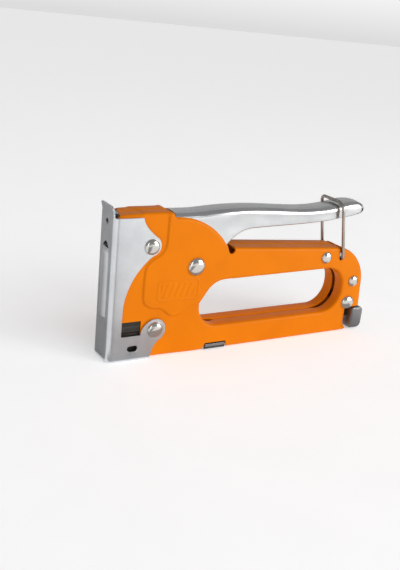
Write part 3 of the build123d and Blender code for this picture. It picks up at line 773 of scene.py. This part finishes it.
def lever_point(u, z, push):
    """A point of the lever's side wall. u runs along the plan line of the wall."""
    if u <= TAIL_START:
        return u, LEVER_HALF + push, z
    run = u - TAIL_START
    x, y = np.interp(run, TAIL_RUN, TAIL_X), np.interp(run, TAIL_RUN, TAIL_Y)
    dx = np.interp(run + 0.2, TAIL_RUN, TAIL_X) - np.interp(run - 0.2, TAIL_RUN, TAIL_X)
    dy = np.interp(run + 0.2, TAIL_RUN, TAIL_Y) - np.interp(run - 0.2, TAIL_RUN, TAIL_Y)
    size = math.hypot(dx, dy)
    return x - dy / size * push, max(0.0, y + dx / size * push), z


def lever_segments():
    """The lever's outline as (kind, points) in order: crown, end of the tail, lower edge and arm."""
    top = LEVER_TOP + [(TAIL_START + 2.0, 86.5), (TAIL_START + 6.0, 85.6), (TAIL_START + 10.0, 84.6),
                       (LEVER_END, 84.2)]
    bottom = [(LEVER_END, 80.9), (TAIL_START + 8.0, 80.3), (TAIL_START + 2.0, 79.0), (158.0, 77.5),
              (150.0, 76.3), (142.0, 75.4), (128.0, 74.5), (112.0, 74.0), (90.0, 73.3), (84.5, 72.6),
              (79.5, 70.6), (75.0, 67.6), (72.0, 64.6)]
    return [
        ("flange", smooth(top, 1.5)),
        ("cut", line((LEVER_END, 84.2), (LEVER_END, 80.9), 0.6)),
        ("rim", smooth(bottom, 1.3)),
        ("cut", smooth([(72.0, 64.6), (66.0, 53.2), (51.8, 45.7)], 1.5, (-0.5, -1), (-1, 0))
         + smooth([(51.8, 45.7), (36.0, 50.4), (17.6, 55.3)], 1.5, (-1, 0), (-1, 0))
         + arc((17.6, 55.3), (15.2, 57.7), (17.6, 60.1), 0.7) + line((17.6, 60.1), (21.6, 57.8), 1.5)
         + smooth([(21.6, 57.8), (31.2, 64.5), (36.9, 83.9)], 1.5, (1, -0.1), (0.15, 1))),
    ]


def lever_push(flat, top, bottom):
    """Relief of the lever's wall: rounded edges, a scooped waist and a slightly sunk lower band."""
    u, z = flat[:, 0], flat[:, 1]
    push = -rim_drop(distance(flat, [top]), LEVER_EDGE) - rim_drop(distance(flat, [bottom]), 0.9)
    shelf = np.interp(u, *zip(*SHELF))
    sunk = step(shelf - z, -0.9, 1.1) * step(u, 66, 76) * (1 - step(u, 152, 162))
    push -= 0.35 * sunk
    push -= 0.45 * np.exp(-((u - 80.5) / 8.5) ** 2 - ((z - 75.5) / 5.0) ** 2)
    return push


def build_lever():
    """The pressed lever: both side walls and a slightly domed top between them."""
    segments = lever_segments()
    outer = [p for _, points in segments for p in points]
    chains = []
    for k, (_, points) in enumerate(segments):
        chains.append(points + [segments[(k + 1) % len(segments)][1][0]])
    top, bottom = chains[0], chains[2]
    holes = [circle(*PIVOT, 3.6, 28), circle(*LIFTING_PIN, 1.5, 16)]
    rings = [(top, [-d for d in rim_rings(LEVER_EDGE)] + [-0.02]), (bottom, [-d for d in rim_rings(0.9)])]
    shelf = smooth([(68, 78), (78, 81.2), (84, 81.6), (92, 80.9), (100, 80.2), (130, 79.6), (150, 80.6)], 1.4)
    rings += [(shelf, (-1.2, -0.6, 0.0, 0.6, 1.2))]
    flat, tris = triangulate([outer] + holes, 2.3, rings, [((TAIL_START, 79), (LEVER_END, 87), 0.9)])
    push = lever_push(flat, top, bottom)
    side = [lever_point(u, z, h) for (u, z), h in zip(flat, push)]
    faces = [tuple(t) for t in tris]
    ids = index_of(flat, top)
    rows = [ids]
    for level in (0.25, 0.5, 0.75, 1.0):
        row = []
        for i in ids:
            x, y, z = side[i]
            row.append(len(side))
            crown = 0.45 * (1 - (1 - level) ** 2) * min(1.0, y / 5.0)
            side.append((x, y * (1 - level), z + crown))
        rows.append(row)
    for a, b in zip(rows[:-1], rows[1:]):
        faces += [(a[k], a[k + 1], b[k + 1], b[k]) for k in range(len(a) - 1)]
    count = len(side)
    both = side + [(x, -y, z) for x, y, z in side]
    all_faces = faces + [tuple(i + count for i in f[::-1]) for f in faces]
    sheet_piece("lever_pressed", both, all_faces, "lever", ["lever"], "chrome_lever", LEVER_SHEET, (0, 0, 1))


# ---- rivets and catch ----------------------------------------------------------------------------------
def dome_rows(radius, height, rim=0.35):
    """Radius and height of the rows of a rivet head, from its seat to its crown."""
    rows = [(radius * 0.96, -0.2), (radius, 0.0), (radius, rim * 0.6), (radius * 0.975, rim)]
    for k in range(1, 9):
        turn = math.pi / 2 * k / 9
        rows.append((radius * 0.975 * math.cos(turn) ** 0.9, rim + (height - rim) * math.sin(turn)))
    return rows + [(0.0, height)]


def ring_faces(first, rows, around):
    """Faces between rows of points, each a closed ring of that many points."""
    faces = []
    for row in range(rows - 1):
        a, b = first + row * around, first + (row + 1) * around
        faces += [(a + k, a + (k + 1) % around, b + (k + 1) % around, b + k) for k in range(around)]
    return faces


def rivet_mesh(places):
    """Heads on both sides with the shank between them.
    places is a list of (x, z, radius, height, seat, shank, stretch)."""
    points, faces = [], []
    around = 40
    for x, z, radius, height, seat, shank, stretch in places:
        for side in (-1, 1):
            profile = [(shank, -seat), (shank, -0.2)] + dome_rows(radius, height)
            first = len(points)
            for r, h in profile:
                wide = 1 + (stretch - 1) * (r > shank)
                points += [(x + r * wide * math.cos(2 * math.pi * k / around), side * (seat + h),
                            z + r * math.sin(2 * math.pi * k / around)) for k in range(around)]
            faces += ring_faces(first, len(profile), around)
    return points, faces


def build_rivets():
    """All the rivets, by the CAD nodes that they stand for."""
    sets = {
        "nose_rivets": [(*UPPER_RIVET, 4.5, 2.0, NOSE_HALF, 2.0, 1.0),
                        (*LOWER_RIVET, 4.75, 2.0, NOSE_HALF, 2.0, 1.0)],
        "lever_pivot_rivet": [(*PIVOT, 5.4, 2.3, BODY_HALF, 2.6, 1.0)],
        "rear_rivets": [(*spot, 3.75, 1.7, BODY_HALF, 1.6, 1.0) for spot in (BAR_RIVET, POST_RIVET)],
        "heel_rivet": [(*HEEL_RIVET, 4.4, 2.0, BODY_HALF, 2.0, 1.13)],
    }
    for node, places in sets.items():
        points, faces = rivet_mesh(places)
        solid_piece(node + "_domed", points, faces, "frame", [node], "polished_rivet", 50)


def tube(path, radius, around=14):
    """A round wire along a path of drawing points, closed at both ends."""
    path = np.array(path, float)
    along = np.gradient(path, axis=0)
    along /= np.linalg.norm(along, axis=1)[:, None]
    side = np.cross(along[0], (0.3, 0.2, 0.9))
    points = []
    for spot, way in zip(path, along):
        side = side - way * (side @ way)
        side /= np.linalg.norm(side)
        other = np.cross(way, side)
        turns = [2 * math.pi * k / around for k in range(around)]
        points += [tuple(spot + radius * (side * math.cos(turn) + other * math.sin(turn))) for turn in turns]
    ends = [tuple(range(around))[::-1], tuple(range(len(points) - around, len(points)))]
    return points, ring_faces(0, len(path), around) + ends


def bail_path():
    """The bail's centre line as (y, distance from its pivot), from the near foot to the far one."""
    wide, reach, foot = 10.72, 36.9, 7.0
    near, far, tight = 5.5, 3.0, 1.0    # corners: top near side, top far side and both feet
    start, top_near = (-wide + tight, 0.0), (-wide, reach - near)
    bar_near, bar_far = (-wide + near, reach), (wide - far, reach)
    top_far, end = (wide, reach - far), (wide - tight, 0.0)
    return (line((-foot, 0.0), start, 0.6)
            + arc(start, (-wide + 0.29, 0.29), (-wide, tight), 0.3)
            + line((-wide, tight), top_near)
            + arc(top_near, (-wide + 1.55, reach - 1.75), bar_near, 0.5)
            + line(bar_near, bar_far)
            + arc(bar_far, (wide - 0.88, reach - 0.88), top_far, 0.4)
            + line(top_far, (wide, tight))
            + arc((wide, tight), (wide - 0.29, 0.29), end, 0.3)
            + line(end, (foot, 0.0), 0.6) + [(foot, 0.0)])


def build_bail():
    """The wire bail: two feet, two legs and a cross bar over the lever."""
    lean = math.radians(10.8)
    x, z = BAIL_PIVOT
    path = [(x - r * math.sin(lean), y, z + r * math.cos(lean)) for y, r in bail_path()]
    points, faces = tube(path, 1.0)
    solid_piece("wire_bail_bent", points, faces, "bail", ["wire_bail"], "bail_wire", 40)


def build_catch():
    """The magazine's catch: a cap with rounded corners whose rim is softly pressed."""
    profile = rounded([(174.0, 15.5), (183.4, 15.5), (183.4, 0.9), (174.0, 0.9)], [1.4, 3.2, 3.6, 0.8], 0.4)
    edge, rim = profile + [profile[0]], 0.9
    flat, tris = triangulate([profile], 1.6, [(edge, rim_rings(rim)), (edge, [-d for d in rim_rings(rim)])])
    half = BODY_HALF - rim_drop(distance(flat, [edge]), rim)
    ids = index_of(flat, profile)
    count = len(flat)
    points = [(x, -h, z) for (x, z), h in zip(flat, half)] + [(x, h, z) for (x, z), h in zip(flat, half)]
    faces = [tuple(t) for t in tris] + [tuple(i + count for i in t[::-1]) for t in tris]
    ring = ids + [ids[0]]
    faces += [(a, b, b + count, a + count) for a, b in zip(ring[:-1], ring[1:])]
    solid_piece("magazine_catch_capped", points, faces, "magazine", ["magazine_catch"], "catch_steel", 40)


def build_tab():
    """The bright tab of the magazine channel in the notch of the lower edge."""
    profile = rounded([(63.3, 3.9), (76.4, 3.9), (77.4, 0.9), (62.0, 0.9)], [0.6, 1.2, 0.6, 0.5], 0.4)
    edge, rim, thin = profile + [profile[0]], 0.5, 0.25
    flat, tris = triangulate([profile], 1.2, [(edge, rim_rings(rim)), (edge, [-d for d in rim_rings(rim)])])
    for side in (-1, 1):
        half = 9.75 - rim_drop(distance(flat, [edge]), rim) - 0.12 * (3.9 - flat[:, 1])
        points = [(x, side * h, z) for (x, z), h in zip(flat, half)]
        name = "channel_tab_" + ("near" if side < 0 else "far")
        sheet_piece(name, points, [tuple(t) for t in tris], "frame", [], "zinc_steel", thin, (0, side, 0))


# ---- stage ---------------------------------------------------------------------------------------------
def floor():
    """The plain pale paper under the tool, in metres."""
    size = 30.0
    mesh = bpy.data.meshes.new("floor")
    corners = [(-size, -size, 0), (size, -size, 0), (size, size, 0), (-size, size, 0)]
    mesh.from_pydata(corners, [], [(0, 1, 2, 3)])
    obj = bpy.data.objects.new("floor", mesh)
    bpy.context.scene.collection.objects.link(obj)
    mat, nodes, links, bsdf = shader("floor_paper")
    grain = noise(nodes, links, 30, 3)
    tone = ramp(nodes, links, grain.outputs["Fac"], [(0.3, grey(0.90)), (0.7, grey(0.93))])
    links.new(tone.outputs["Color"], bsdf.inputs["Base Color"])
    bsdf.inputs["Roughness"].default_value = 0.9
    bsdf.inputs["Emission Color"].default_value = (1, 1, 1, 1)
    bsdf.inputs["Emission Strength"].default_value = 0.34
    obj.data.materials.append(mat)


def camera():
    """The camera, from its turn, height and tilt about a point on the tool."""
    yaw, pitch, roll = math.radians(-31.06), math.radians(19.24), math.radians(5.85)
    target = Vector(place([(61.1, 0, 37.9)])[0])
    reach = 0.439
    focal, tall = 747.4, 570.0    # focal length and height of the picture, both in its pixels
    back = Vector((math.sin(yaw) * math.cos(pitch), -math.cos(yaw) * math.cos(pitch), math.sin(pitch)))
    data = bpy.data.cameras.new("camera")
    data.sensor_width = 36.0
    data.lens = data.sensor_width * focal / tall
    data.clip_start = 0.01
    obj = bpy.data.objects.new("camera", data)
    bpy.context.scene.collection.objects.link(obj)
    right = (-back).cross(Vector((0, 0, 1))).normalized()
    up = right.cross(-back)
    tilted_right = right * math.cos(roll) + up * math.sin(roll)
    tilted_up = up * math.cos(roll) - right * math.sin(roll)
    rows = zip(tilted_right, tilted_up, back, target + back * reach)
    obj.matrix_world = Matrix((*rows, (0, 0, 0, 1)))
    bpy.context.scene.camera = obj


def area_light(name, where, towards, size, power):
    """A soft rectangular lamp that looks at a point, in metres and watts."""
    data = bpy.data.lights.new(name, "AREA")
    data.shape = "RECTANGLE"
    data.size, data.size_y = size
    data.energy = power
    obj = bpy.data.objects.new(name, data)
    obj.location = where
    obj.rotation_euler = (Vector(towards) - Vector(where)).to_track_quat("-Z", "Y").to_euler()
    bpy.context.scene.collection.objects.link(obj)


def card(name, corners, tone):
    """A dark card that only the tool sees, to shade its reflections."""
    mesh = bpy.data.meshes.new(name)
    mesh.from_pydata(corners, [], [tuple(range(len(corners)))])
    obj = bpy.data.objects.new(name, mesh)
    bpy.context.scene.collection.objects.link(obj)
    mat, nodes, links, bsdf = shader(name)
    grain = noise(nodes, links, 12, 2)
    shade = ramp(nodes, links, grain.outputs["Fac"], [(0.3, grey(tone)), (0.7, grey(tone * 1.2))])
    links.new(shade.outputs["Color"], bsdf.inputs["Base Color"])
    bsdf.inputs["Roughness"].default_value = 0.9
    obj.data.materials.append(mat)
    obj.visible_camera = False
    obj.visible_shadow = False
    obj.visible_diffuse = False


def lights():
    """Soft studio light, with dark cards that shade the reflections in the bright metal."""
    middle = (0.09, 0, 0.04)
    area_light("key", (1.05, -0.95, 0.32), middle, (0.6, 0.8), 8.8)
    area_light("fill", (-0.7, -1.3, 0.5), middle, (0.5, 0.9), 2.5)
    sun = bpy.data.lights.new("sun", "SUN")
    sun.energy = 1.0
    sun.angle = math.radians(50)
    obj = bpy.data.objects.new("sun", sun)
    obj.rotation_euler = Vector((-0.2, 0.85, -0.75)).to_track_quat("-Z", "Y").to_euler()
    obj.visible_glossy = False
    bpy.context.scene.collection.objects.link(obj)
    on_floor = 0.001    # metres
    for name, tone, corners in (
        ("left_card", 0.5, [(-0.001, -0.006), (-0.02, 0.0), (-0.5, 0.34), (-0.5, 0.8), (0.03, 0.8)]),
        ("front_card", 0.42, [(0.0, -0.013), (-0.08, -0.5), (0.2, -0.5), (0.004, -0.013)]),
        ("foot_card", 0.46, [(-0.01, -0.0102), (0.01, -0.055), (0.21, -0.055), (0.19, -0.0102)]),
        ("right_card", 0.05, [(0.24, -0.02), (0.9, -0.2), (0.9, 0.5), (0.24, 0.25)]),
    ):
        card(name, [(x, y, on_floor) for x, y in corners], tone)
    card("back_card", [(-0.8, 0.45, 0.06), (1.2, 0.45, 0.06), (1.2, 0.75, 0.9), (-0.8, 0.75, 0.9)], 0.34)
    world = bpy.data.worlds.new("studio")
    bpy.context.scene.world = world
    world.use_nodes = True
    nodes, links = world.node_tree.nodes, world.node_tree.links
    where = nodes.new("ShaderNodeTexCoord")
    split = nodes.new("ShaderNodeSeparateXYZ")
    links.new(where.outputs["Generated"], split.inputs["Vector"])
    shade = ramp(nodes, links, split.outputs["Z"],
                 [(0.0, grey(0.72)), (0.05, grey(0.9)), (0.13, grey(0.3)), (1.0, grey(0.3))])
    links.new(shade.outputs["Color"], nodes["Background"].inputs["Color"])
    nodes["Background"].inputs["Strength"].default_value = 1.0


def dress_cad_nodes():
    """Every CAD node that shows gets its slot's material."""
    slots = {part["node"]: part["material_slot"] for part in frame["record"]["subparts"]}
    for node, obj in frame["nodes"].items():
        obj.data.materials.clear()
        obj.data.materials.append(MATS[slots[node]])


dress_cad_nodes()
build_shells()
build_nose()
build_lever()
build_rivets()
build_catch()
build_bail()
build_tab()
floor()
camera()
lights()
bpy.context.scene.view_settings.view_transform = "Standard"
